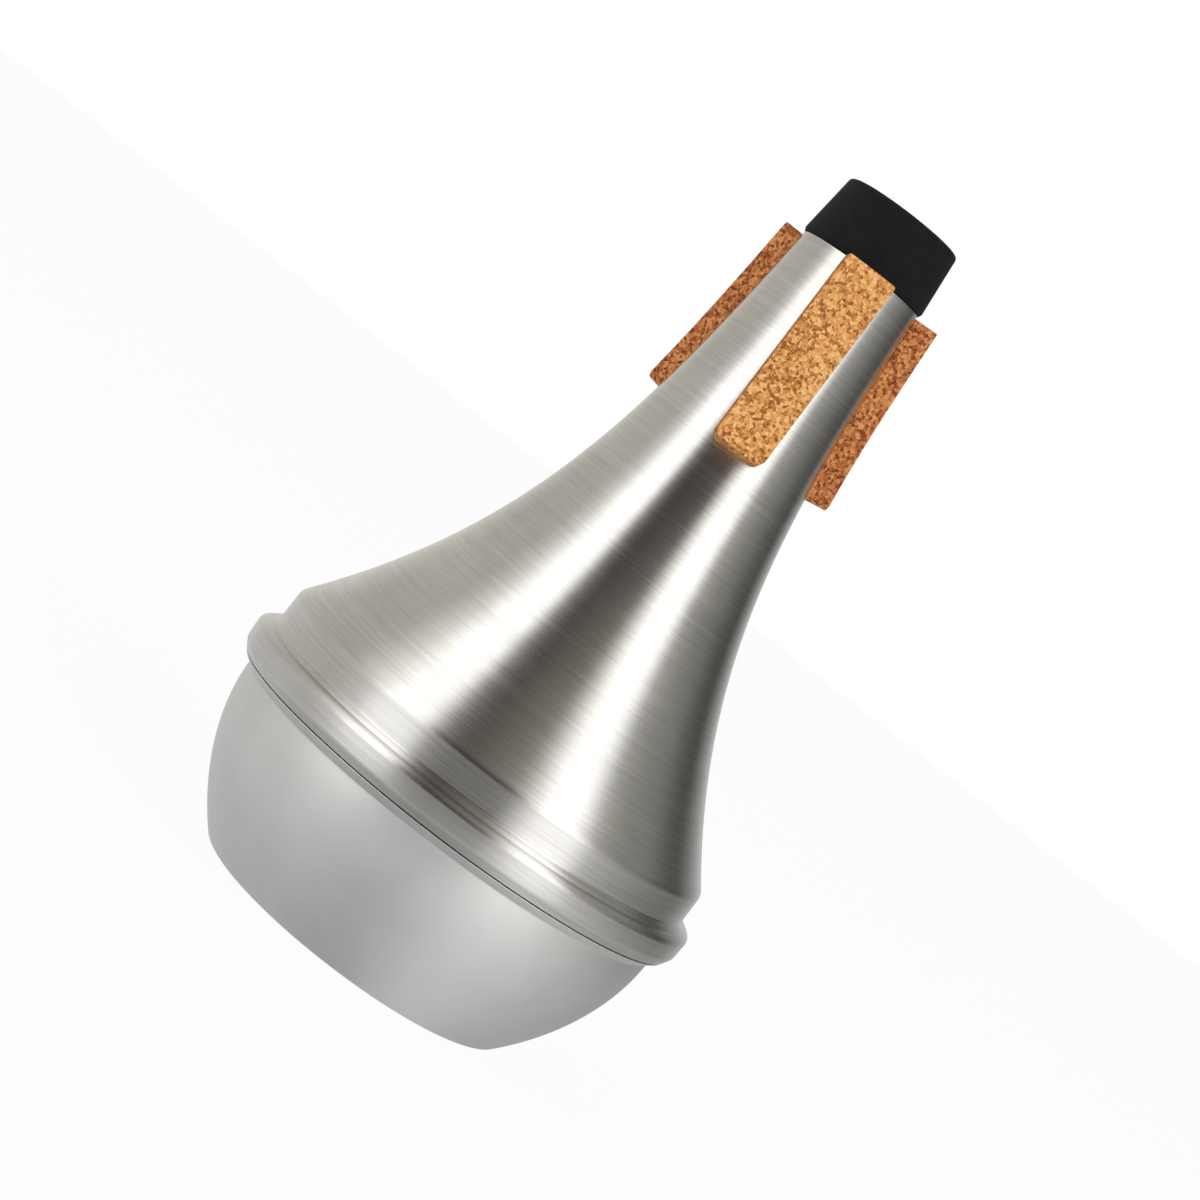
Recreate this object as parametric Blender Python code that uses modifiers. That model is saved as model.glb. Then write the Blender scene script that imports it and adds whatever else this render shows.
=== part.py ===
"""Straight instrument mute: a spun cone, an end cup, a soft neck plug and three cork strips.

Metres, +Z up. The mute stands on its closed wide end. Its axis is the Z axis, and the origin is the
centre of the flat base. Azimuths are measured from the front (-Y) towards +X.
"""
import math

import bmesh
import bpy
from mathutils import Vector

MM = 0.001

# Sizes of the body shell, which is spun from one sheet
BEAD_DIAMETER = 100.0 * MM
BODY_HEIGHT = 155.6 * MM
SHELL_WALL = 0.8 * MM
NECK_DIAMETER = 26.2 * MM
NECK_TAPER = math.radians(4.1)
NECK_PULL = 0.42
SHOULDER_SLOPE = math.radians(37.8)
SHOULDER_PULL = 0.304
SHOULDER_RADIUS = 2.2 * MM
BAND_HEIGHT = 6.6 * MM
BAND_INSET = 3.2 * MM
BEAD_CORNER_RADIUS = 1.6 * MM
BEAD_CURL_RADIUS = 2.0 * MM
BEAD_ROOF_DROP = 2.0 * MM
BEAD_FACE = 5.7 * MM
CURL_HEIGHT = 1.6 * MM
CURL_INSET = 1.2 * MM
FILLET_RADIUS = 0.6 * MM
BAND_LEAN = 0.1 * MM
BEAD_FACE_LEAN = 0.2 * MM

# Sizes of the end cup
CUP_WALL = 1.0 * MM
CUP_HEIGHT = 30.6 * MM
CUP_INSET = 3.4 * MM
FLANGE_RISE = 1.65 * MM
BASE_FLAT_DIAMETER = 64.8 * MM
BASE_CORNER_RADIUS = 2.2 * MM
BASE_CORNER_TURN = math.radians(49.0)
CUP_LOW_PULL = 0.39
CUP_HIGH_PULL = 0.30
RIM_RISE = 4.6 * MM
RIM_FLARE = 0.9 * MM
FLANGE_INSET = 1.3 * MM
RIM_INSET = 2.45 * MM

# Sizes of the neck plug
PLUG_DIAMETER = 27.0 * MM
PLUG_END_DIAMETER = 24.5 * MM
PLUG_HEIGHT = 12.7 * MM
PLUG_BORE = 16.0 * MM
PLUG_EDGE_RADIUS = 0.5 * MM
SPIGOT_LENGTH = 13.0 * MM

# Sizes of the cork strips: each row gives a name, its azimuth, its length and the drop of its top below the rim
CORK_WIDTH = 10.5 * MM
CORK_THICKNESS = 5.0 * MM
CORK_CORNER_RADIUS = 1.7 * MM
CORK_FOOT_CUT = 0.625 * MM
CORKS = (
    ("cork_front", math.radians(4.2), 41.2 * MM, -0.1 * MM),
    ("cork_right", math.radians(114.0), 39.2 * MM, 0.3 * MM),
    ("cork_left", math.radians(-126.5), 39.2 * MM, 0.3 * MM),
)

# Clearance between pieces that touch, and the number of facets round the axis
FIT_GAP = 0.3 * MM
FACETS = 48
FLARE_POINTS = 11
ARC_POINTS = 3
WALL_POINTS = 8
CORK_SPANS = 8
MERGE_DISTANCE = 0.05 * MM


def bezier(start, start_handle, end_handle, end, count):
    """Points along a cubic curve, both ends included."""
    points = []
    for index in range(count):
        t = index / (count - 1)
        points.append(start * (1 - t) ** 3 + start_handle * 3 * (1 - t) ** 2 * t
                      + end_handle * 3 * (1 - t) * t ** 2 + end * t ** 3)
    return points


def rounded(corners, count=ARC_POINTS):
    """An outline through (radius, height, fillet) corners, each fillet an arc tangent to both sides."""
    points = [Vector(corners[0][:2])]
    for before, corner, after in zip(corners, corners[1:], corners[2:]):
        here = Vector(corner[:2])
        back = Vector(before[:2]) - here
        ahead = Vector(after[:2]) - here
        if corner[2] <= 0:
            points.append(here)
            continue
        half = back.angle(ahead) / 2
        reach = min(corner[2] / math.tan(half), 0.45 * back.length, 0.45 * ahead.length)
        radius = reach * math.tan(half)
        centre = here + (back.normalized() + ahead.normalized()).normalized() * radius / math.sin(half)
        first = here + back.normalized() * reach - centre
        last = here + ahead.normalized() * reach - centre
        turn = first.angle_signed(last)
        for index in range(count + 1):
            angle = -turn * index / count
            c, s = math.cos(angle), math.sin(angle)
            points.append(centre + Vector((first.x * c - first.y * s, first.x * s + first.y * c)))
    points.append(Vector(corners[-1][:2]))
    return points


def offset(points, distance):
    """The outline moved by a distance towards the axis side of its downward course."""
    moved = []
    for index, point in enumerate(points):
        back = point - points[max(index - 1, 0)]
        ahead = points[min(index + 1, len(points) - 1)] - point
        sides = [Vector((d.y, -d.x)).normalized() for d in (back, ahead) if d.length > 0]
        normal = (sides[0] + sides[-1]).normalized()
        moved.append(point + normal * distance / normal.dot(sides[0]))
    return moved


def seam_height():
    """The level of the shell's lower edge, just clear of the cup's flange."""
    return CUP_HEIGHT + FLANGE_RISE + FIT_GAP


def flare_outline():
    """The concave outside of the cone, from the neck rim down to the shoulder's corner."""
    top = Vector((NECK_DIAMETER / 2, BODY_HEIGHT))
    band_top = seam_height() + BEAD_FACE + BEAD_ROOF_DROP + BAND_HEIGHT
    corner = Vector((BEAD_DIAMETER / 2 - BAND_INSET, band_top - SHOULDER_RADIUS / 4))
    length = top.y - corner.y
    neck_handle = top + Vector((math.tan(NECK_TAPER), -1)) * length * NECK_PULL
    shoulder_handle = corner + Vector((-math.tan(SHOULDER_SLOPE), 1)) * length * SHOULDER_PULL
    return bezier(top, neck_handle, shoulder_handle, corner, FLARE_POINTS)


def shell_outline():
    """The outside of the shell, from the neck rim down to the edge that is curled under the bead."""
    bead = BEAD_DIAMETER / 2
    seam = seam_height()
    roof_edge = seam + BEAD_FACE
    flare = flare_outline()
    lower = [
        (*flare[-2], 0),
        (*flare[-1], SHOULDER_RADIUS),
        (bead - BAND_INSET + BAND_LEAN, roof_edge + BEAD_ROOF_DROP, FILLET_RADIUS),
        (bead, roof_edge, BEAD_CORNER_RADIUS),
        (bead - BEAD_FACE_LEAN, seam + CURL_HEIGHT, BEAD_CURL_RADIUS),
        (bead - CURL_INSET, seam, 0),
    ]
    return flare[:-2] + rounded(lower)


def shell_profile():
    """The closed section of the shell: down the outside and up the inside."""
    outside = shell_outline()
    return outside + offset(outside, SHELL_WALL)[::-1]


def cup_profile():
    """The section of the end cup, from the axis up the inside, over the rim and down the outside."""
    flat = BASE_FLAT_DIAMETER / 2
    wall_top = Vector((BEAD_DIAMETER / 2 - CUP_INSET, CUP_HEIGHT))
    centre = Vector((flat, BASE_CORNER_RADIUS))
    corner = []
    for index in range(ARC_POINTS + 1):
        angle = BASE_CORNER_TURN * index / ARC_POINTS
        corner.append(centre + Vector((math.sin(angle), -math.cos(angle))) * BASE_CORNER_RADIUS)
    length = (wall_top - corner[-1]).length
    along = Vector((math.cos(BASE_CORNER_TURN), math.sin(BASE_CORNER_TURN)))
    wall = bezier(corner[-1], corner[-1] + along * length * CUP_LOW_PULL,
                  wall_top - Vector((0, length * CUP_HIGH_PULL)), wall_top, WALL_POINTS)
    outside = (corner + wall[1:])[::-1]
    inside = offset(outside, CUP_WALL)
    floor = Vector((0, CUP_WALL))
    edge = Vector((BEAD_DIAMETER / 2 - FLANGE_INSET, CUP_HEIGHT + FLANGE_RISE))
    lip = BEAD_DIAMETER / 2 - RIM_INSET
    lip_foot = edge.y + FIT_GAP
    rim_foot = lip_foot + RIM_RISE / 3
    rim = lip_foot + RIM_RISE
    up_inside = [Vector((lip - CUP_WALL, lip_foot)), Vector((lip - CUP_WALL, rim_foot)),
                 Vector((lip - CUP_WALL + RIM_FLARE, rim - RIM_RISE / 3)), Vector((lip - CUP_WALL + RIM_FLARE, rim))]
    down_outside = [Vector((lip + RIM_FLARE, rim)), Vector((lip + RIM_FLARE, rim - RIM_RISE / 3)),
                    Vector((lip, rim_foot)), Vector((lip, lip_foot)), edge]
    return [floor] + inside[::-1] + up_inside + down_outside + outside + [Vector((0, 0))]


def plug_profile():
    """The closed section of the neck plug: down the head and the spigot, and up the bore."""
    seat = BODY_HEIGHT + FIT_GAP
    end = seat + PLUG_HEIGHT
    head = PLUG_DIAMETER / 2
    bore = PLUG_BORE / 2
    spigot = NECK_DIAMETER / 2 - SHELL_WALL - FIT_GAP
    foot = seat - SPIGOT_LENGTH
    corners = [
        (bore, end, 0),
        (PLUG_END_DIAMETER / 2, end, PLUG_EDGE_RADIUS),
        (head, seat + PLUG_EDGE_RADIUS, 0),
        (head - PLUG_EDGE_RADIUS / 2, seat, 0),
        (spigot, seat, 0),
        (spigot, foot, PLUG_EDGE_RADIUS),
        (bore, foot, 0),
    ]
    return rounded(corners)


def material(name, colour, roughness, metallic):
    """A plain surface for one piece."""
    made = bpy.data.materials.new(name)
    made.use_nodes = True
    shader = made.node_tree.nodes["Principled BSDF"]
    shader.inputs["Base Color"].default_value = (*colour, 1.0)
    shader.inputs["Roughness"].default_value = roughness
    shader.inputs["Metallic"].default_value = metallic
    return made


def turned(name, profile, closed, collection, surface=None):
    """A piece turned from a section in the XZ plane."""
    mesh = bpy.data.meshes.new(name)
    edges = [(i, i + 1) for i in range(len(profile) - 1)]
    if closed:
        edges.append((len(profile) - 1, 0))
    mesh.from_pydata([(p.x, 0, p.y) for p in profile], edges, [])
    piece = bpy.data.objects.new(name, mesh)
    collection.objects.link(piece)
    screw = piece.modifiers.new("turn", "SCREW")
    screw.axis = "Z"
    screw.steps = screw.render_steps = FACETS
    screw.use_merge_vertices = True
    screw.merge_threshold = MERGE_DISTANCE
    screw.use_smooth_shade = True
    if surface:
        mesh.materials.append(surface)
    return piece


def cork_ring_profile(length, drop):
    """The closed section of a strip: it lies on the flare and follows it, with ends cut square."""
    flare = flare_outline()
    top = BODY_HEIGHT - drop
    heights = [top - length * index / CORK_SPANS for index in range(CORK_SPANS + 1)]
    inner = []
    for height in heights:
        for upper, lower in zip(flare, flare[1:]):
            if lower.y <= height <= upper.y or (upper is flare[0] and height > upper.y):
                share = (upper.y - height) / (upper.y - lower.y)
                inner.append(upper.lerp(lower, max(share, 0)) + Vector((0, max(height - upper.y, 0))))
                break
    seat = offset(inner, -FIT_GAP)
    face = offset(inner, -FIT_GAP - CORK_THICKNESS)
    return face + seat[::-1]


def cork_cutter(name, azimuth, length, drop, collection):
    """The block that a strip is cut out with: parallel sides and rounded lower corners."""
    low = BODY_HEIGHT - drop - length - CORK_FOOT_CUT
    high = BODY_HEIGHT + CORK_THICKNESS
    reach = BEAD_DIAMETER / 2
    mesh = bpy.data.meshes.new(name)
    shape = bmesh.new()
    bmesh.ops.create_cube(shape, size=1.0)
    bmesh.ops.scale(shape, vec=(CORK_WIDTH, reach, high - low), verts=shape.verts)
    bmesh.ops.translate(shape, vec=(0, -reach / 2, (low + high) / 2), verts=shape.verts)
    foot = [e for e in shape.edges if all(v.co.z < (low + high) / 2 for v in e.verts)
            and abs(e.verts[0].co.y - e.verts[1].co.y) > reach / 2]
    bmesh.ops.bevel(shape, geom=foot, offset=CORK_CORNER_RADIUS, segments=3, profile=0.5, affect="EDGES")
    shape.to_mesh(mesh)
    shape.free()
    cutter = bpy.data.objects.new(name, mesh)
    cutter.rotation_euler = (0, 0, azimuth)
    cutter.hide_render = True
    cutter.display_type = "WIRE"
    collection.objects.link(cutter)
    return cutter


def main():
    for old in list(bpy.data.objects):
        bpy.data.objects.remove(old)
    pieces = bpy.data.collections.new("instrument_mute")
    cutters = bpy.data.collections.new("cutters")
    bpy.context.scene.collection.children.link(pieces)
    bpy.context.scene.collection.children.link(cutters)

    spun = material("spun_aluminium", (0.62, 0.61, 0.59), 0.28, 1.0)
    matt = material("matt_aluminium", (0.55, 0.55, 0.54), 0.5, 1.0)
    foam = material("black_foam_rubber", (0.012, 0.012, 0.012), 0.9, 0.0)
    cork = material("pressed_cork", (0.55, 0.28, 0.10), 0.9, 0.0)

    turned("body_shell", shell_profile(), True, pieces, spun)
    turned("end_cup", cup_profile(), False, pieces, matt)

    plug_joint = bpy.data.objects.new("neck_plug_joint", None)
    plug_joint.location = (0, 0, BODY_HEIGHT)
    pieces.objects.link(plug_joint)
    section = [point - Vector((0, BODY_HEIGHT)) for point in plug_profile()]
    plug = turned("neck_plug", section, True, pieces, foam)
    plug.parent = plug_joint

    for name, azimuth, length, drop in CORKS:
        strip = turned(name, cork_ring_profile(length, drop), True, pieces, cork)
        cut = strip.modifiers.new("cut_to_width", "BOOLEAN")
        cut.operation = "INTERSECT"
        cut.solver = "EXACT"
        cut.object = cork_cutter(name + "_cutter", azimuth, length, drop, cutters)


main()
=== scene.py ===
"""The looks of a straight instrument mute: spun aluminium, matt end cup, soft black plug and cork."""
import math

import bpy
from mathutils import Matrix, Vector


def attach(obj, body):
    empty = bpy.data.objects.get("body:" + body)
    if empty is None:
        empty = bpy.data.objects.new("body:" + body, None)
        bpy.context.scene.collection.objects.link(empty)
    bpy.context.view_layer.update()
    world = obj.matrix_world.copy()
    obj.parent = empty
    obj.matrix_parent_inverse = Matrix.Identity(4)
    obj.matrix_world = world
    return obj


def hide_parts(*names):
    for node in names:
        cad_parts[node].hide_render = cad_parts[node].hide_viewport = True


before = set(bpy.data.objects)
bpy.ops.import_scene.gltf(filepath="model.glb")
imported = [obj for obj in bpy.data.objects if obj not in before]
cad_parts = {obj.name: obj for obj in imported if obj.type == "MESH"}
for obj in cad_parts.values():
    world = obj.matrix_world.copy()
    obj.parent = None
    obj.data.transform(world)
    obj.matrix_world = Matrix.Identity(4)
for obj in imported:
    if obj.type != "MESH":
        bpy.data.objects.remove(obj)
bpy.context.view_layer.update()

bl_info = {
    "name": "Instrument mute",
    "version": (1, 0, 0),
    "blender": (4, 5, 0),
    "location": "View3D > Sidebar > Mute",
    "description": "Models and finishes a straight mute on its packed frame",
    "category": "Object",
}

MM = 0.001

# The CAD bodies that the pieces ride on
BODY = "mute_body"
PLUG = "plug"

# The flare between the neck rim and the shoulder: its slopes and how far each end pulls the curve
NECK_TAPER = math.radians(4.1)
NECK_PULL = 0.42
SHOULDER_SLOPE = math.radians(37.8)
SHOULDER_PULL = 0.304
SHOULDER_RADIUS = 2.2 * MM
SHOULDER_SINK = SHOULDER_RADIUS / 4

# The band and the bead under it
BAND_HEIGHT = 6.6 * MM
BAND_LEAN = 0.1 * MM
BAND_FILLET = 0.6 * MM
ROOF_DROP = 2.0 * MM
BEAD_FACE = 5.7 * MM
BEAD_CORNER_RADIUS = 1.6 * MM
BEAD_FACE_LEAN = 0.2 * MM
SEAM_RISE = 1.95 * MM
CURL_HEIGHT = 1.6 * MM
CURL_RADIUS = 2.0 * MM
CURL_INSET = 1.2 * MM
CURL_EDGE = Vector((0.15, 0.2)) * MM
RIM_EDGE = 0.2 * MM
RIM_EDGE_REST = 0.3

# The fine ring scored into the bead's roof
SCORE_PLACE = 0.45
SCORE_HALF_WIDTH = 0.3 * MM
SCORE_DEPTH = 0.14 * MM

# The end cup
CUP_INSET = 3.4 * MM
CUP_EDGE_FILLET = 0.5 * MM
CUP_LOW_PULL = 0.39
CUP_HIGH_PULL = 0.30
BASE_CORNER_RADIUS = 2.2 * MM
BASE_CORNER_TURN = math.radians(49)
FLANGE_RISE = 1.65 * MM
FLANGE_INSET = 1.3 * MM
FLANGE_FILLET = 0.12 * MM
LIP_GAP = 0.45 * MM
LIP_STEP = 0.3 * MM
LIP_HEIGHT = 4.9 * MM

# The neck plug
PLUG_SEAT_GAP = 0.12 * MM
PLUG_FIT_GAP = 0.3 * MM
PLUG_BULGE = 0.1 * MM
PLUG_BULGE_SHARE = 0.45
PLUG_EDGE_RADIUS = 0.75 * MM
PLUG_BORE_RADIUS = 0.5 * MM
PLUG_HEEL_HEIGHT = 0.7 * MM
PLUG_HEEL_RADIUS = 0.4 * MM
PLUG_HEEL_INSET = 0.35 * MM
SPIGOT_LENGTH = 13.0 * MM
SPIGOT_EDGE_RADIUS = 0.5 * MM
SPIGOT_BORE_RADIUS = 0.3 * MM

# The cork strips: each has its side, its azimuth from the front in degrees, and in millimetres its length
# and the drop of its top below the rim
CORKS = (("front", 4.2, 41.4, -0.35), ("right", 114.0, 39.2, 0.3), ("left", -126.5, 39.2, 0.3))
CORK_FOOT_RADIUS = 1.7 * MM
CORK_TOP_RADIUS = 0.3 * CORK_FOOT_RADIUS
CORK_SOFT_EDGE = 0.22 * MM
CORK_GLUE = 0.08 * MM
CORK_OVERHANG = 2 * MM

# How finely the pieces are drawn
ROUND = 256
FLARE_POINTS = 60
CORK_FLARE_POINTS = 240
CUP_POINTS = 32
CORNER_STEPS = 8
CORK_CUTS = 31
MERGE_DISTANCE = 0.004 * MM
METAL_SMOOTHING = math.radians(40)
CORK_SMOOTHING = math.radians(35)

# The camera that took the photograph, in its own pixels, metres and radians
PHOTO_WIDTH = 1200.0
FOCAL_PIXELS = 2796.6
SENSOR_WIDTH = 36.0
CAMERA_PLACE = (0, -0.520, 0.10793)
CAMERA_PITCH = 0.05662
CAMERA_YAW = math.radians(-0.181)
CAMERA_ROLL = math.radians(37.5)

# The studio: lamps aim at the middle of the mute, and the floor lies just under it
LAMP_AIM = Vector((0, 0, 0.08))
LAMP_DISTANCE = 1.2
LAMP_SIZE = (0.6, 1.2)
FLOOR_SIZE = 6
FLOOR_DROP = 0.2 * MM
FLOOR_GLOW = 0.94
EVEN_LIGHT = 0.62

# What the metal mirrors: grey levels round the front, by the azimuth in degrees of the surface that
# mirrors them to the viewer. One row is for level surfaces, one for those that face up, one for those
# that face down. The two white stretches are softboxes, with a dark flat between them
LEVEL_SURROUND = (
    (-90, "#A6A49F"), (-62, "#979590"), (-40, "#999791"), (-33, "#B4B2AF"), (-27, "#FFFFFF"),
    (-17, "#FFFFFF"), (-13, "#625F5A"), (-8, "#1C1A19"), (4, "#0F0E0E"), (9, "#302E2B"),
    (13, "#BFBEBA"), (17, "#FFFFFF"), (27, "#FFFFFF"), (32, "#8E8D89"), (42, "#6A6A66"),
    (54, "#4A4A47"), (64, "#393836"), (74, "#767775"), (90, "#A6A9AC"))
RAISED_SURROUND = (
    (-90, "#A6A49F"), (-62, "#908E88"), (-42, "#91908A"), (-31, "#CCCAC7"), (-25, "#FFFFFF"),
    (-17, "#FFFFFF"), (-13, "#65625E"), (-7, "#423F3C"), (2, "#625F5A"), (9, "#74716D"),
    (13, "#B8B6B2"), (17, "#FFFFFF"), (25, "#FFFFFF"), (31, "#888784"), (40, "#747470"),
    (50, "#787774"), (60, "#444341"), (72, "#7F7E7A"), (90, "#A6A9AC"))
LOWERED_SURROUND = (
    (-90, "#9B9B9B"), (-60, "#9D9D9D"), (-40, "#9B9B9B"), (-22, "#ADADAD"), (-5, "#909090"), (8, "#999999"),
    (22, "#C9C9C9"), (36, "#A6A6A6"), (50, "#8A8A8A"), (68, "#767676"), (90, "#9B9B9B"))
SURROUND_STRENGTH = 2.1
SURROUND_FADE = 0.62


class MuteSizes(bpy.types.PropertyGroup):
    """Driving sizes of the mute, in metres."""
    bead_diameter: bpy.props.FloatProperty(
        name="Bead diameter", description="Widest diameter of the mute",
        default=0.100, unit="LENGTH")
    body_height: bpy.props.FloatProperty(
        name="Body height", description="From the flat base to the neck rim",
        default=0.1556, unit="LENGTH")
    shell_wall: bpy.props.FloatProperty(
        name="Shell wall", description="Thickness of the spun sheet",
        default=0.0008, unit="LENGTH")
    neck_diameter: bpy.props.FloatProperty(
        name="Neck diameter", description="Outside of the neck rim",
        default=0.0262, unit="LENGTH")
    band_inset: bpy.props.FloatProperty(
        name="Band inset", description="From the bead's widest ring in to the band",
        default=0.0032, unit="LENGTH")
    cup_height: bpy.props.FloatProperty(
        name="Cup height", description="From the base to the notch under the bead",
        default=0.0306, unit="LENGTH")
    cup_wall: bpy.props.FloatProperty(
        name="Cup wall", description="Thickness of the end cup",
        default=0.001, unit="LENGTH")
    base_flat: bpy.props.FloatProperty(
        name="Base flat", description="Diameter of the flat the mute stands on",
        default=0.0648, unit="LENGTH")
    plug_diameter: bpy.props.FloatProperty(
        name="Plug diameter", description="The plug's head where it meets the neck",
        default=0.027, unit="LENGTH")
    plug_end: bpy.props.FloatProperty(
        name="Plug end diameter", description="The plug's head at its free end",
        default=0.0245, unit="LENGTH")
    plug_height: bpy.props.FloatProperty(
        name="Plug height", description="How far the plug stands out of the neck",
        default=0.0127, unit="LENGTH")
    plug_bore: bpy.props.FloatProperty(
        name="Plug bore", description="Diameter of the hole through the plug",
        default=0.016, unit="LENGTH")
    cork_width: bpy.props.FloatProperty(
        name="Cork width", description="Width of each strip",
        default=0.0105, unit="LENGTH")
    cork_thickness: bpy.props.FloatProperty(
        name="Cork thickness", description="Thickness of each strip",
        default=0.005, unit="LENGTH")


class MuteColours(bpy.types.PropertyGroup):
    """Colours of the mute's finishes, as sRGB hex values."""
    spun: bpy.props.StringProperty(
        name="Spun metal", description="Satin aluminium", default="#CBC9C5")
    matt: bpy.props.StringProperty(
        name="Matt metal", description="Blasted aluminium", default="#DEDEDC")
    foam: bpy.props.StringProperty(
        name="Foam rubber", description="Black plug", default="#0A0A0B")
    cork_light: bpy.props.StringProperty(
        name="Light cork", description="Palest granules", default="#E2B072")
    cork_mid: bpy.props.StringProperty(
        name="Cork", description="Most granules", default="#C6884A")
    cork_dark: bpy.props.StringProperty(
        name="Dark cork", description="Bark flecks and pores", default="#91552A")
    # The three colours below are the cork made darker and redder for the strips' side faces: painted shade
    shaded_side_light: bpy.props.StringProperty(
        name="Light cork edge", description="Palest cut face", default="#D4945A")
    shaded_side_mid: bpy.props.StringProperty(
        name="Cork edge", description="Most of a cut face", default="#B0683A")
    shaded_side_dark: bpy.props.StringProperty(
        name="Dark cork edge", description="Flecks of a cut face", default="#7A3C1C")


# Outlines, as (radius, height) points

def curve_points(start, start_handle, end_handle, end, count):
    """Points along a cubic curve, both ends included."""
    points = []
    for index in range(count):
        t = index / (count - 1)
        points.append(start * (1 - t) ** 3 + start_handle * 3 * (1 - t) ** 2 * t
                      + end_handle * 3 * (1 - t) * t ** 2 + end * t ** 3)
    return points


def rounded(corners, count=CORNER_STEPS):
    """An outline through (radius, height, fillet) corners, each fillet an arc tangent to both sides."""
    points = [Vector(corners[0][:2])]
    for before, corner, after in zip(corners, corners[1:], corners[2:]):
        here = Vector(corner[:2])
        back = Vector(before[:2]) - here
        ahead = Vector(after[:2]) - here
        if corner[2] <= 0:
            points.append(here)
            continue
        half = back.angle(ahead) / 2
        reach = min(corner[2] / math.tan(half), 0.45 * back.length, 0.45 * ahead.length)
        radius = reach * math.tan(half)
        centre = here + (back.normalized() + ahead.normalized()).normalized() * radius / math.sin(half)
        first = here + back.normalized() * reach - centre
        last = here + ahead.normalized() * reach - centre
        turn = first.angle_signed(last)
        for index in range(count + 1):
            angle = -turn * index / count
            c, s = math.cos(angle), math.sin(angle)
            points.append(centre + Vector((first.x * c - first.y * s, first.x * s + first.y * c)))
    points.append(Vector(corners[-1][:2]))
    return points


def offset(points, distance):
    """The outline moved towards the axis side of its downward course."""
    moved = []
    for index, point in enumerate(points):
        back = point - points[max(index - 1, 0)]
        ahead = points[min(index + 1, len(points) - 1)] - point
        sides = [Vector((d.y, -d.x)).normalized() for d in (back, ahead) if d.length > 0]
        normal = (sides[0] + sides[-1]).normalized()
        moved.append(point + normal * distance / normal.dot(sides[0]))
    return moved


def flare(sizes, count=FLARE_POINTS):
    """The concave outside of the cone, from the neck rim to the shoulder's corner."""
    top = Vector((sizes.neck_diameter / 2, sizes.body_height))
    band_top = sizes.cup_height + SEAM_RISE + BEAD_FACE + ROOF_DROP + BAND_HEIGHT
    corner = Vector((sizes.bead_diameter / 2 - sizes.band_inset, band_top - SHOULDER_SINK))
    length = top.y - corner.y
    neck_handle = top + Vector((math.tan(NECK_TAPER), -1)) * length * NECK_PULL
    shoulder_handle = corner + Vector((-math.tan(SHOULDER_SLOPE), 1)) * length * SHOULDER_PULL
    return curve_points(top, neck_handle, shoulder_handle, corner, count)


def shell_section(sizes):
    """Down the shell's outside, with the fine scored ring on the bead's roof, and up its inside."""
    bead = sizes.bead_diameter / 2
    seam = sizes.cup_height + SEAM_RISE
    roof_edge = seam + BEAD_FACE
    cone = flare(sizes)
    roof_start = Vector((bead - sizes.band_inset + BAND_LEAN, roof_edge + ROOF_DROP))
    roof_end = Vector((bead, roof_edge))
    along = (roof_end - roof_start).normalized()
    inward = Vector((along.y, -along.x))
    score = roof_start.lerp(roof_end, SCORE_PLACE)
    curled = Vector((bead - CURL_INSET, seam))
    lower = [
        (*cone[-2], 0),
        (*cone[-1], SHOULDER_RADIUS),
        (*roof_start, BAND_FILLET),
        (*(score - along * SCORE_HALF_WIDTH), 0),
        (*(score + inward * SCORE_DEPTH), 0),
        (*(score + along * SCORE_HALF_WIDTH), 0),
        (*roof_end, BEAD_CORNER_RADIUS),
        (bead - BEAD_FACE_LEAN, seam + CURL_HEIGHT, CURL_RADIUS),
        (*(curled + CURL_EDGE), 0),
        (*curled, 0),
    ]
    rim = cone[0]
    rim_round = Vector((-RIM_EDGE, -RIM_EDGE)) * RIM_EDGE_REST
    outside = [rim - Vector((RIM_EDGE, 0)), rim + rim_round] + cone[1:-2] + rounded(lower)
    return outside, offset(outside, sizes.shell_wall)[::-1]


def cup_section(sizes):
    """Up the cup's inside from the floor's corner, then from its hidden rim down the outside to the base."""
    bead = sizes.bead_diameter / 2
    wall_top = Vector((bead - CUP_INSET, sizes.cup_height))
    centre = Vector((sizes.base_flat / 2, BASE_CORNER_RADIUS))
    corner = []
    for index in range(CORNER_STEPS + 1):
        angle = BASE_CORNER_TURN * index / CORNER_STEPS
        corner.append(centre + Vector((math.sin(angle), -math.cos(angle))) * BASE_CORNER_RADIUS)
    length = (wall_top - corner[-1]).length
    slope = Vector((math.cos(BASE_CORNER_TURN), math.sin(BASE_CORNER_TURN)))
    wall = curve_points(corner[-1], corner[-1] + slope * length * CUP_LOW_PULL,
                        wall_top - Vector((0, length * CUP_HIGH_PULL)), wall_top, CUP_POINTS)
    edge = Vector((bead - FLANGE_INSET, sizes.cup_height + FLANGE_RISE))
    lip = bead - CURL_INSET - sizes.shell_wall - LIP_GAP
    foot = edge.y + LIP_STEP
    rim = edge.y + LIP_HEIGHT
    head = [
        (lip, rim, 0),
        (lip, foot, 0),
        (*edge, FLANGE_FILLET),
        (*wall_top, CUP_EDGE_FILLET),
        (*wall[-2], 0),
    ]
    outside = rounded(head, 5)[:-1] + (corner + wall[1:-1])[::-1]
    inside = offset((corner + wall[1:])[::-1], sizes.cup_wall)[::-1]
    inside += [Vector((lip - sizes.cup_wall, foot)), Vector((lip - sizes.cup_wall, rim))]
    return inside, outside


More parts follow.
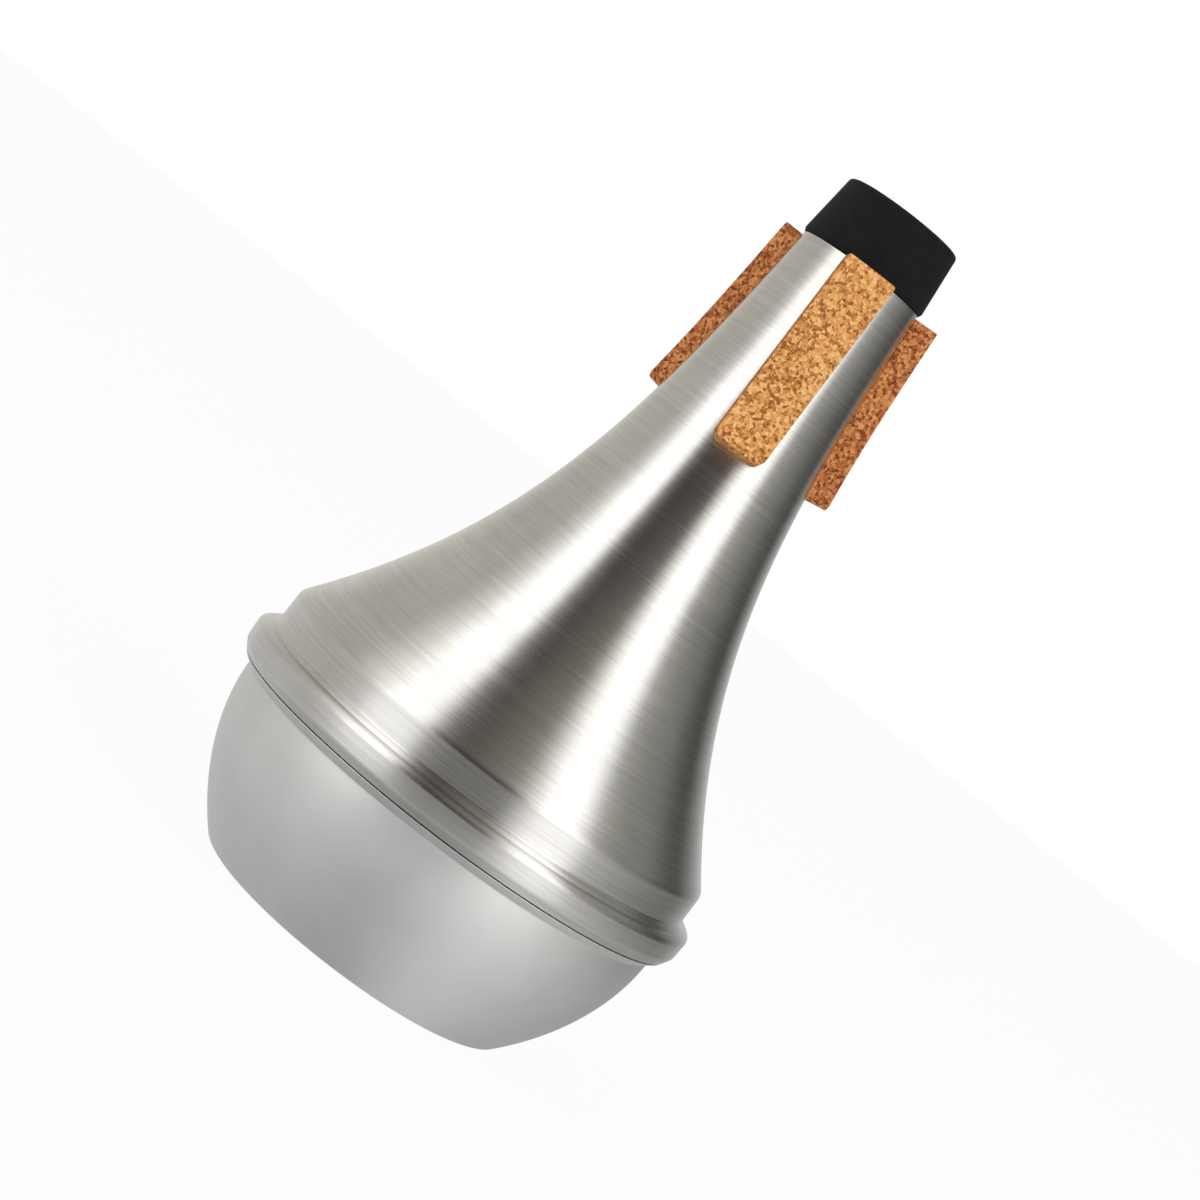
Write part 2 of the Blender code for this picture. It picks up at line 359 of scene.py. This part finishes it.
def plug_section(sizes):
    """The plug's closed section: over the head, down the spigot and up the bore."""
    seat = sizes.body_height + PLUG_SEAT_GAP
    end = sizes.body_height + PLUG_FIT_GAP + sizes.plug_height
    spigot = sizes.neck_diameter / 2 - sizes.shell_wall - PLUG_FIT_GAP
    foot = seat - SPIGOT_LENGTH
    bore = sizes.plug_bore / 2
    head = sizes.plug_diameter / 2
    tip = sizes.plug_end / 2
    middle = head * PLUG_BULGE_SHARE + tip * (1 - PLUG_BULGE_SHARE)
    corners = [
        (bore - 0.01 * MM, end - 0.6 * MM, 0),
        (bore, end, PLUG_BORE_RADIUS),
        (tip, end, PLUG_EDGE_RADIUS),
        (middle + PLUG_BULGE, (seat + end) / 2, 0),
        (head, seat + PLUG_HEEL_HEIGHT, PLUG_HEEL_RADIUS),
        (head - PLUG_HEEL_INSET, seat, 0),
        (spigot, seat, 0),
        (spigot, foot, SPIGOT_EDGE_RADIUS),
        (bore, foot, SPIGOT_BORE_RADIUS),
        (bore, foot + 1.0 * MM, 0),
    ]
    return rounded(corners, 6)


# Modelling by hand, with the edit mode's own tools

def deselect():
    """Back to object mode with nothing selected."""
    if bpy.context.object and bpy.context.object.mode != "OBJECT":
        bpy.ops.object.mode_set(mode="OBJECT")
    bpy.ops.object.select_all(action="DESELECT")


def finish_surface(smoothing):
    """The selected piece's faces turned outwards and its shallow edges smoothed."""
    bpy.ops.mesh.select_all(action="SELECT")
    bpy.ops.mesh.normals_make_consistent(inside=False)
    bpy.ops.object.mode_set(mode="OBJECT")
    bpy.ops.object.shade_smooth_by_angle(angle=smoothing)


def lathe(name, rings, closed):
    """A turned piece: a circle is extruded and scaled from ring to ring. An open section ends in caps."""
    deselect()
    first = rings[0]
    bpy.ops.mesh.primitive_circle_add(vertices=ROUND, radius=first.x, location=(0, 0, first.y))
    piece = bpy.context.object
    piece.name = piece.data.name = name
    bpy.ops.object.transform_apply(location=True, rotation=True, scale=True)
    bpy.ops.object.mode_set(mode="EDIT")
    bpy.ops.mesh.select_all(action="SELECT")
    if not closed:
        bpy.ops.mesh.edge_face_add()
    for before, after in zip(rings, rings[1:] + ([first] if closed else [])):
        bpy.ops.mesh.extrude_region_move(
            TRANSFORM_OT_translate={"value": (0, 0, after.y - before.y), "orient_type": "GLOBAL"})
        share = after.x / before.x
        bpy.ops.transform.resize(value=(share, share, 1), center_override=(0, 0, after.y))
    bpy.ops.mesh.select_all(action="SELECT")
    bpy.ops.mesh.remove_doubles(threshold=MERGE_DISTANCE)
    if not closed:
        bpy.ops.mesh.select_all(action="DESELECT")
        bpy.ops.mesh.select_non_manifold()
        bpy.ops.mesh.edge_face_add()
    finish_surface(METAL_SMOOTHING)
    return piece


def cork_block(name, sizes, length):
    """A flat block of cork, finely divided, with rounded lower corners and a cut face on each side, which
    takes the cork darkened with painted shade.
    """
    deselect()
    width = sizes.cork_width
    bpy.ops.mesh.primitive_cube_add(size=1, location=(0, 0, 0))
    piece = bpy.context.object
    piece.name = piece.data.name = name
    piece.scale = (width, sizes.cork_thickness, length)
    bpy.ops.object.transform_apply(location=True, rotation=True, scale=True)
    bpy.ops.object.mode_set(mode="EDIT")
    bpy.ops.mesh.select_all(action="SELECT")
    bpy.ops.mesh.subdivide(number_cuts=CORK_CUTS)
    bpy.ops.object.mode_set(mode="OBJECT")
    for vertex in piece.data.vertices:
        place = vertex.co
        for end, radius in ((-1, CORK_FOOT_RADIUS), (1, CORK_TOP_RADIUS)):
            x, z = abs(place.x) - (width / 2 - radius), end * place.z - (length / 2 - radius)
            if x > 0 and z > 0:
                stretch = max(x, z) / math.hypot(x, z)
                place.x = math.copysign(width / 2 - radius + x * stretch, place.x)
                place.z = end * (length / 2 - radius + z * stretch)
    for face in piece.data.polygons:
        # The side faces take the second finish, a darker copy of the cork with painted shade
        face.material_index = 1 if abs(face.normal.x) > 0.7 else 0
    bevel = piece.modifiers.new("soft_edges", "BEVEL")
    bevel.width = CORK_SOFT_EDGE
    bevel.segments = 2
    bevel.limit_method = "ANGLE"
    bevel.angle_limit = math.radians(50)
    bpy.ops.object.modifier_apply(modifier=bevel.name)
    return piece


def cork_course(sizes, drop):
    """The flare's outline from a strip's top end down, and how far along it each point lies."""
    outline = flare(sizes, CORK_FLARE_POINTS)
    top = sizes.body_height - drop
    outline = [outline[0] + Vector((0, CORK_OVERHANG))] + outline
    start = next(index for index, point in enumerate(outline) if point.y <= top)
    above, below = outline[start - 1], outline[start]
    course = [above.lerp(below, (above.y - top) / (above.y - below.y))] + outline[start:]
    runs = [0.0]
    for a, b in zip(course, course[1:]):
        runs.append(runs[-1] + (b - a).length)
    return course, runs


def cork_strip(name, sizes, azimuth, length, drop):
    """A block of cork bent down the flare and glued on at its azimuth."""
    piece = cork_block(name, sizes, length)
    course, runs = cork_course(sizes, drop)
    turned = Matrix.Rotation(azimuth, 3, "Z")
    for vertex in piece.data.vertices:
        x, depth, height = vertex.co
        way = length / 2 - height
        index = min(sum(1 for run in runs[1:] if run < way), len(course) - 2)
        share = (way - runs[index]) / (runs[index + 1] - runs[index])
        ahead = (course[index + 1] - course[index]).normalized()
        outward = Vector((-ahead.y, ahead.x)) * (CORK_GLUE + depth + sizes.cork_thickness / 2)
        out = course[index].lerp(course[index + 1], share) + outward
        vertex.co = turned @ Vector((x, -math.sqrt(max(out.x ** 2 - x ** 2, 0)), out.y))
    deselect()
    piece.select_set(True)
    bpy.context.view_layer.objects.active = piece
    bpy.ops.object.mode_set(mode="EDIT")
    finish_surface(CORK_SMOOTHING)
    return piece


# Finishes

def linear(hex_colour, factor=1.0):
    """An sRGB hex colour as linear red, green and blue times a factor, and alpha."""
    channels = [int(hex_colour[i:i + 2], 16) / 255 for i in (1, 3, 5)]
    levels = [c / 12.92 if c <= 0.04045 else ((c + 0.055) / 1.055) ** 2.4 for c in channels]
    return (*(level * factor for level in levels), 1.0)


def scale_of(millimetres):
    """A texture scale for Object coordinates in metres, from the size of one feature in millimetres."""
    return 1.0 / (millimetres * MM)


def add(tree, kind, settings=None, links=None):
    """One node with its settings and the sockets that feed it."""
    made = tree.nodes.new(kind)
    for key, value in (settings or {}).items():
        if isinstance(key, int) or key in made.inputs:
            made.inputs[key].default_value = value
        else:
            setattr(made, key, value)
    for key, source in (links or {}).items():
        tree.links.new(source, made.inputs[key])
    return made


def blank(name):
    """A new material with one shader joined to its output."""
    made = bpy.data.materials.new(name)
    made.use_nodes = True
    tree = made.node_tree
    tree.nodes.clear()
    output = add(tree, "ShaderNodeOutputMaterial")
    shader = add(tree, "ShaderNodeBsdfPrincipled")
    tree.links.new(shader.outputs[0], output.inputs[0])
    return made, tree, shader


def ramp(tree, source, stops):
    """A colour ramp with (position, colour) stops."""
    made = add(tree, "ShaderNodeValToRGB", links={"Fac": source})
    elements = made.color_ramp.elements
    while len(elements) < len(stops):
        elements.new(0.5)
    for element, (position, colour) in zip(elements, stops):
        element.position = position
        element.color = colour
    return made


def spun_aluminium(colours):
    """Aluminium spun on a lathe and buffed satin: fine rings round the axis stretch each highlight."""
    made, tree, shader = blank("spun_aluminium_satin")
    place = add(tree, "ShaderNodeTexCoord").outputs["Object"]
    # Lathe lines about 0.5 mm apart up the axis, coarser than the tool's real marks so that they show,
    # and 50 times as long round it
    rings = add(tree, "ShaderNodeMapping", {"Scale": (0.02, 0.02, 1.0)}, {"Vector": place})
    fine = add(tree, "ShaderNodeTexNoise", {"Scale": scale_of(0.5), "Detail": 3.0, "Roughness": 0.6},
               {"Vector": rings.outputs[0]})
    # Belts about 6 mm wide where the buffing was heavier or lighter
    broad = add(tree, "ShaderNodeTexNoise", {"Scale": scale_of(6.0), "Detail": 2.0},
                {"Vector": rings.outputs[0]})
    # Handling marks and faint clouding about 18 mm across
    cloud = add(tree, "ShaderNodeTexNoise", {"Scale": scale_of(18.0), "Detail": 4.0, "Roughness": 0.55},
                {"Vector": place})
    tone = ramp(tree, cloud.outputs["Fac"], [
        (0.3, linear(colours.spun, 0.93)), (0.7, linear(colours.spun, 1.04))])
    streak = add(tree, "ShaderNodeMapRange", {
        "From Min": 0.3, "From Max": 0.7, "To Min": 0.88, "To Max": 1.06}, {"Value": fine.outputs["Fac"]})
    lined = add(tree, "ShaderNodeVectorMath", {"operation": "SCALE"},
                {0: tone.outputs[0], "Scale": streak.outputs[0]})
    tree.links.new(lined.outputs[0], shader.inputs["Base Color"])
    sheen = add(tree, "ShaderNodeMath", {"operation": "MULTIPLY_ADD", 1: 0.08, 2: 0.20},
                {0: broad.outputs["Fac"]})
    worn = add(tree, "ShaderNodeMath", {"operation": "MULTIPLY_ADD", 1: 0.06},
               {0: fine.outputs["Fac"], 2: sheen.outputs[0]})
    tree.links.new(worn.outputs[0], shader.inputs["Roughness"])
    bump = add(tree, "ShaderNodeBump", {"Strength": 0.5, "Distance": 0.025 * MM},
               {"Height": fine.outputs["Fac"]})
    tree.links.new(bump.outputs[0], shader.inputs["Normal"])
    shader.inputs["Metallic"].default_value = 1.0
    # The rings run round the axis, so the roughness is across them, a quarter turn from the tangent
    shader.inputs["Anisotropic"].default_value = 0.85
    shader.inputs["Anisotropic Rotation"].default_value = 0.25
    around = add(tree, "ShaderNodeTangent", {"direction_type": "RADIAL", "axis": "Z"})
    tree.links.new(around.outputs[0], shader.inputs["Tangent"])
    return made


def matt_aluminium(colours):
    """Aluminium bead blasted after spinning: an even matt skin with a very fine grit."""
    made, tree, shader = blank("matt_aluminium_blasted")
    place = add(tree, "ShaderNodeTexCoord").outputs["Object"]
    # Blasted grit about 0.35 mm across, and clouding about 14 mm across
    grit = add(tree, "ShaderNodeTexNoise", {"Scale": scale_of(0.35), "Detail": 2.0}, {"Vector": place})
    cloud = add(tree, "ShaderNodeTexNoise", {"Scale": scale_of(14.0), "Detail": 3.0}, {"Vector": place})
    tone = ramp(tree, cloud.outputs["Fac"], [
        (0.3, linear(colours.matt, 0.95)), (0.7, linear(colours.matt, 1.03))])
    tree.links.new(tone.outputs[0], shader.inputs["Base Color"])
    rough = add(tree, "ShaderNodeMath", {"operation": "MULTIPLY_ADD", 1: 0.08, 2: 0.42},
                {0: cloud.outputs["Fac"]})
    tree.links.new(rough.outputs[0], shader.inputs["Roughness"])
    bump = add(tree, "ShaderNodeBump", {"Strength": 0.12, "Distance": 0.02 * MM},
               {"Height": grit.outputs["Fac"]})
    tree.links.new(bump.outputs[0], shader.inputs["Normal"])
    shader.inputs["Metallic"].default_value = 1.0
    return made


def black_foam(colours):
    """Closed-cell foam rubber with a moulded skin: black and dull, with pores that break up its edge."""
    made, tree, shader = blank("black_foam_rubber_moulded")
    place = add(tree, "ShaderNodeTexCoord").outputs["Object"]
    # Pores about 0.45 mm across, and a slightly greyer bloom in patches of 2.5 mm
    pores = add(tree, "ShaderNodeTexVoronoi", {"Scale": scale_of(0.45)}, {"Vector": place})
    cloud = add(tree, "ShaderNodeTexNoise", {"Scale": scale_of(2.5), "Detail": 4.0}, {"Vector": place})
    tone = ramp(tree, cloud.outputs["Fac"], [
        (0.35, linear(colours.foam, 0.6)), (0.7, linear(colours.foam, 1.4))])
    tree.links.new(tone.outputs[0], shader.inputs["Base Color"])
    bump = add(tree, "ShaderNodeBump", {"Strength": 0.35, "Distance": 0.06 * MM},
               {"Height": pores.outputs["Distance"]})
    tree.links.new(bump.outputs[0], shader.inputs["Normal"])
    shader.inputs["Roughness"].default_value = 0.82
    shader.inputs["Specular IOR Level"].default_value = 0.3
    return made


def pressed_cork(name, light, mid, dark):
    """Agglomerated cork, ground and pressed: granules about 0.6 mm across, with dark bark flecks."""
    made, tree, shader = blank(name)
    place = add(tree, "ShaderNodeTexCoord").outputs["Object"]
    # The granules' edges wander by up to 0.5 mm, so that they look torn rather than cut
    wobble = add(tree, "ShaderNodeTexNoise", {"Scale": scale_of(0.7), "Detail": 2.0}, {"Vector": place})
    shift = add(tree, "ShaderNodeVectorMath", {"operation": "SCALE", "Scale": 0.5 * MM},
                {0: wobble.outputs["Color"]})
    bent = add(tree, "ShaderNodeVectorMath", {"operation": "ADD"}, {0: place, 1: shift.outputs[0]})
    grains = add(tree, "ShaderNodeTexVoronoi", {"Scale": scale_of(0.62)}, {"Vector": bent.outputs[0]})
    grain_tone = add(tree, "ShaderNodeSeparateColor", links={"Color": grains.outputs["Color"]})
    speck = add(tree, "ShaderNodeTexNoise", {"Scale": scale_of(0.38), "Detail": 3.0, "Roughness": 0.65},
                {"Vector": place})
    level = add(tree, "ShaderNodeMath", {"operation": "MULTIPLY", 1: 0.72}, {0: speck.outputs["Fac"]})
    mixed = add(tree, "ShaderNodeMath", {"operation": "MULTIPLY_ADD", 1: 0.45},
                {0: grain_tone.outputs[0], 2: level.outputs[0]})
    tone = ramp(tree, mixed.outputs[0], [
        (0.30, linear(dark, 0.8)), (0.40, linear(dark)), (0.48, linear(mid, 0.8)), (0.58, linear(mid)),
        (0.80, linear(light))])
    tree.links.new(tone.outputs[0], shader.inputs["Base Color"])
    bump = add(tree, "ShaderNodeBump", {"Strength": 0.5, "Distance": 0.12 * MM}, {"Height": mixed.outputs[0]})
    tree.links.new(bump.outputs[0], shader.inputs["Normal"])
    shader.inputs["Roughness"].default_value = 0.85
    shader.inputs["Specular IOR Level"].default_value = 0.25
    return made


def dress(piece, body, slot, node, *surfaces):
    """The finishes of a piece, the body it rides on and the CAD node it stands for."""
    picked = [face.material_index for face in piece.data.polygons]
    piece.data.materials.clear()
    for surface in surfaces:
        piece.data.materials.append(surface)
    piece.data.polygons.foreach_set("material_index", picked)
    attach(piece, body)
    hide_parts(node)


# The studio

def studio_floor():
    """A pale floor with a faint shadow, which the metal doesn't mirror."""
    deselect()
    bpy.ops.mesh.primitive_plane_add(size=FLOOR_SIZE, location=(0, 0, -FLOOR_DROP))
    floor = bpy.context.object
    floor.name = "studio_floor"
    paint = bpy.data.materials.new("pale_floor")
    paint.use_nodes = True
    tree = paint.node_tree
    tree.nodes.clear()
    path = add(tree, "ShaderNodeLightPath")
    part = add(tree, "ShaderNodeMath", {"operation": "MULTIPLY", 1: FLOOR_GLOW},
               {0: path.outputs["Is Camera Ray"]})
    chalk = add(tree, "ShaderNodeBsdfDiffuse", {"Color": (0.8, 0.8, 0.8, 1)})
    glow = add(tree, "ShaderNodeEmission", {"Color": (1, 1, 1, 1), "Strength": 1.0})
    pale = add(tree, "ShaderNodeMixShader", links={
        0: part.outputs[0], 1: chalk.outputs[0], 2: glow.outputs[0]})
    # The photographed mute has no floor under it, so the metal mirrors the surround down there too
    clear = add(tree, "ShaderNodeBsdfTransparent")
    seen = add(tree, "ShaderNodeMixShader", links={
        0: path.outputs["Is Glossy Ray"], 1: pale.outputs[0], 2: clear.outputs[0]})
    tree.links.new(seen.outputs[0], add(tree, "ShaderNodeOutputMaterial").inputs[0])
    floor.data.materials.append(paint)


def surround(tree, azimuth, levels):
    """The grey levels of one surround as a colour ramp over half a turn."""
    return ramp(tree, azimuth, [((degrees + 90) / 180, linear(grey)) for degrees, grey in levels])


def studio_world(scene):
    """White behind the mute, tall softboxes and dark flats in what it mirrors, even light elsewhere."""
    world = bpy.data.worlds.new("studio")
    scene.world = world
    world.use_nodes = True
    tree = world.node_tree
    tree.nodes.clear()
    way = add(tree, "ShaderNodeSeparateXYZ", links={0: add(tree, "ShaderNodeTexCoord").outputs["Generated"]})
    # Half way between a direction and the front is the facing of the surface that mirrors it
    front = add(tree, "ShaderNodeMath", {"operation": "SUBTRACT", 0: 1.0}, {1: way.outputs["Y"]})
    angle = add(tree, "ShaderNodeMath", {"operation": "ARCTAN2"}, {0: way.outputs["X"], 1: front.outputs[0]})
    azimuth = add(tree, "ShaderNodeMapRange", {"From Min": -math.pi / 2, "From Max": math.pi / 2},
                  {"Value": angle.outputs[0]})
    level = surround(tree, azimuth.outputs[0], LEVEL_SURROUND)
    raised = surround(tree, azimuth.outputs[0], RAISED_SURROUND)
    lowered = surround(tree, azimuth.outputs[0], LOWERED_SURROUND)
    rise = add(tree, "ShaderNodeMapRange", {"From Min": 0.25, "From Max": 0.85}, {"Value": way.outputs["Z"]})
    upper = add(tree, "ShaderNodeMixRGB", links={
        0: rise.outputs[0], 1: level.outputs[0], 2: raised.outputs[0]})
    fall = add(tree, "ShaderNodeMapRange", {"From Min": 0.05, "From Max": -0.25}, {"Value": way.outputs["Z"]})
    whole = add(tree, "ShaderNodeMixRGB", links={
        0: fall.outputs[0], 1: upper.outputs[0], 2: lowered.outputs[0]})
    # Straight down it is darker, which shades the cup towards its base
    fade = add(tree, "ShaderNodeMapRange", {
        "From Min": -1.0, "From Max": -0.4,
        "To Min": SURROUND_FADE * SURROUND_STRENGTH, "To Max": SURROUND_STRENGTH},
               {"Value": way.outputs["Z"]})
    path = add(tree, "ShaderNodeLightPath")
    even = add(tree, "ShaderNodeBackground", {"Color": (1, 1, 1, 1), "Strength": EVEN_LIGHT})
    mirrored = add(tree, "ShaderNodeBackground", links={
        "Color": whole.outputs[0], "Strength": fade.outputs[0]})
    white = add(tree, "ShaderNodeBackground", {"Color": (1, 1, 1, 1), "Strength": 1.0})
    lit = add(tree, "ShaderNodeMixShader", links={
        0: path.outputs["Is Glossy Ray"], 1: even.outputs[0], 2: mirrored.outputs[0]})
    seen = add(tree, "ShaderNodeMixShader", links={
        0: path.outputs["Is Camera Ray"], 1: lit.outputs[0], 2: white.outputs[0]})
    tree.links.new(seen.outputs[0], add(tree, "ShaderNodeOutputWorld").inputs[0])


def softbox(scene, name, azimuth, height, power):
    """A tall area lamp that faces the mute from an azimuth in degrees off the camera's side."""
    lamp = bpy.data.lights.new(name, "AREA")
    lamp.shape = "RECTANGLE"
    lamp.size, lamp.size_y = LAMP_SIZE
    lamp.energy = power
    holder = bpy.data.objects.new(name, lamp)
    # The metal mirrors the surround instead, which has the softboxes in it
    holder.visible_glossy = False
    angle = math.radians(azimuth)
    holder.location = (LAMP_DISTANCE * math.sin(angle), -LAMP_DISTANCE * math.cos(angle), height)
    aim = LAMP_AIM - holder.location
    holder.rotation_euler = aim.to_track_quat("-Z", "Y").to_euler()
    scene.collection.objects.link(holder)


def photograph_camera(scene):
    """The camera where the photographer's stood, rolled so that the mute leans to the upper right."""
    camera = bpy.data.cameras.new("view")
    camera.sensor_width = SENSOR_WIDTH
    camera.lens = SENSOR_WIDTH * FOCAL_PIXELS / PHOTO_WIDTH
    camera.clip_start = 0.01
    holder = bpy.data.objects.new("view", camera)
    scene.collection.objects.link(holder)
    level = Vector((math.sin(CAMERA_YAW), math.cos(CAMERA_YAW), 0)) * math.cos(CAMERA_PITCH)
    ahead = level - Vector((0, 0, math.sin(CAMERA_PITCH)))
    right = Vector((math.cos(CAMERA_YAW), -math.sin(CAMERA_YAW), 0))
    up = right.cross(ahead)
    tilted_right = right * math.cos(CAMERA_ROLL) + up * math.sin(CAMERA_ROLL)
    tilted_up = up * math.cos(CAMERA_ROLL) - right * math.sin(CAMERA_ROLL)
    turn = Matrix((tilted_right, tilted_up, -ahead)).transposed().to_4x4()
    holder.matrix_world = Matrix.Translation(CAMERA_PLACE) @ turn
    scene.camera = holder
    scene.view_settings.view_transform = "Standard"


class MUTE_OT_studio(bpy.types.Operator):
    """Set the floor, world, lamps and camera"""
    bl_idname = "mute.studio"
    bl_label = "Studio"

    def execute(self, context):
        scene = context.scene
        studio_floor()
        studio_world(scene)
        softbox(scene, "softbox_left", -50.0, 0.55, 5.0)
        softbox(scene, "softbox_right", 40.0, 0.75, 9.0)
        photograph_camera(scene)
        return {"FINISHED"}


class MUTE_OT_shell(bpy.types.Operator):
    """Model the spun shell"""
    bl_idname = "mute.shell"
    bl_label = "Body shell"

    def execute(self, context):
        outside, inside = shell_section(context.scene.mute_sizes)
        piece = lathe("spun_shell", outside + inside, True)
        dress(piece, BODY, "spun_aluminium", "body_shell", spun_aluminium(context.scene.mute_colours))
        return {"FINISHED"}


class MUTE_OT_cup(bpy.types.Operator):
    """Model the matt end cup"""
    bl_idname = "mute.cup"
    bl_label = "End cup"

    def execute(self, context):
        inside, outside = cup_section(context.scene.mute_sizes)
        piece = lathe("matt_cup", inside + outside, False)
        dress(piece, BODY, "matt_aluminium", "end_cup", matt_aluminium(context.scene.mute_colours))
        return {"FINISHED"}


class MUTE_OT_plug(bpy.types.Operator):
    """Model the black neck plug"""
    bl_idname = "mute.plug"
    bl_label = "Neck plug"

    def execute(self, context):
        piece = lathe("foam_plug", plug_section(context.scene.mute_sizes), True)
        dress(piece, PLUG, "foam_rubber", "neck_plug", black_foam(context.scene.mute_colours))
        return {"FINISHED"}


class MUTE_OT_corks(bpy.types.Operator):
    """Model the three cork strips"""
    bl_idname = "mute.corks"
    bl_label = "Cork strips"

    def execute(self, context):
        sizes = context.scene.mute_sizes
        colours = context.scene.mute_colours
        face = pressed_cork("pressed_cork_sanded", colours.cork_light, colours.cork_mid, colours.cork_dark)
        # The strips' side faces get a darker, redder copy of the cork: painted shade
        edge = pressed_cork("pressed_cork_side_painted_shade", colours.shaded_side_light, colours.shaded_side_mid, colours.shaded_side_dark)
        for side, azimuth, length, drop in CORKS:
            piece = cork_strip("cork_strip_" + side, sizes, math.radians(azimuth), length * MM, drop * MM)
            dress(piece, BODY, "pressed_cork", "cork_" + side, face, edge)
        return {"FINISHED"}


class MUTE_PT_panel(bpy.types.Panel):
    """The mute's sizes, colours and steps"""
    bl_label = "Instrument mute"
    bl_idname = "MUTE_PT_panel"
    bl_space_type = "VIEW_3D"
    bl_region_type = "UI"
    bl_category = "Mute"

    def draw(self, context):
        for group in (context.scene.mute_sizes, context.scene.mute_colours):
            for name in group.__annotations__:
                self.layout.prop(group, name)
        for step in STEPS:
            self.layout.operator(step.bl_idname)


STEPS = (MUTE_OT_studio, MUTE_OT_shell, MUTE_OT_cup, MUTE_OT_plug, MUTE_OT_corks)
CLASSES = (MuteSizes, MuteColours) + STEPS + (MUTE_PT_panel,)


def register():
    for made in CLASSES:
        bpy.utils.register_class(made)
    bpy.types.Scene.mute_sizes = bpy.props.PointerProperty(type=MuteSizes)
    bpy.types.Scene.mute_colours = bpy.props.PointerProperty(type=MuteColours)


def unregister():
    del bpy.types.Scene.mute_colours
    del bpy.types.Scene.mute_sizes
    for made in reversed(CLASSES):
        bpy.utils.unregister_class(made)


def main():
    register()
    bpy.ops.mute.studio()
    bpy.ops.mute.shell()
    bpy.ops.mute.cup()
    bpy.ops.mute.plug()
    bpy.ops.mute.corks()
    deselect()


if __name__ == "__main__":
    main()
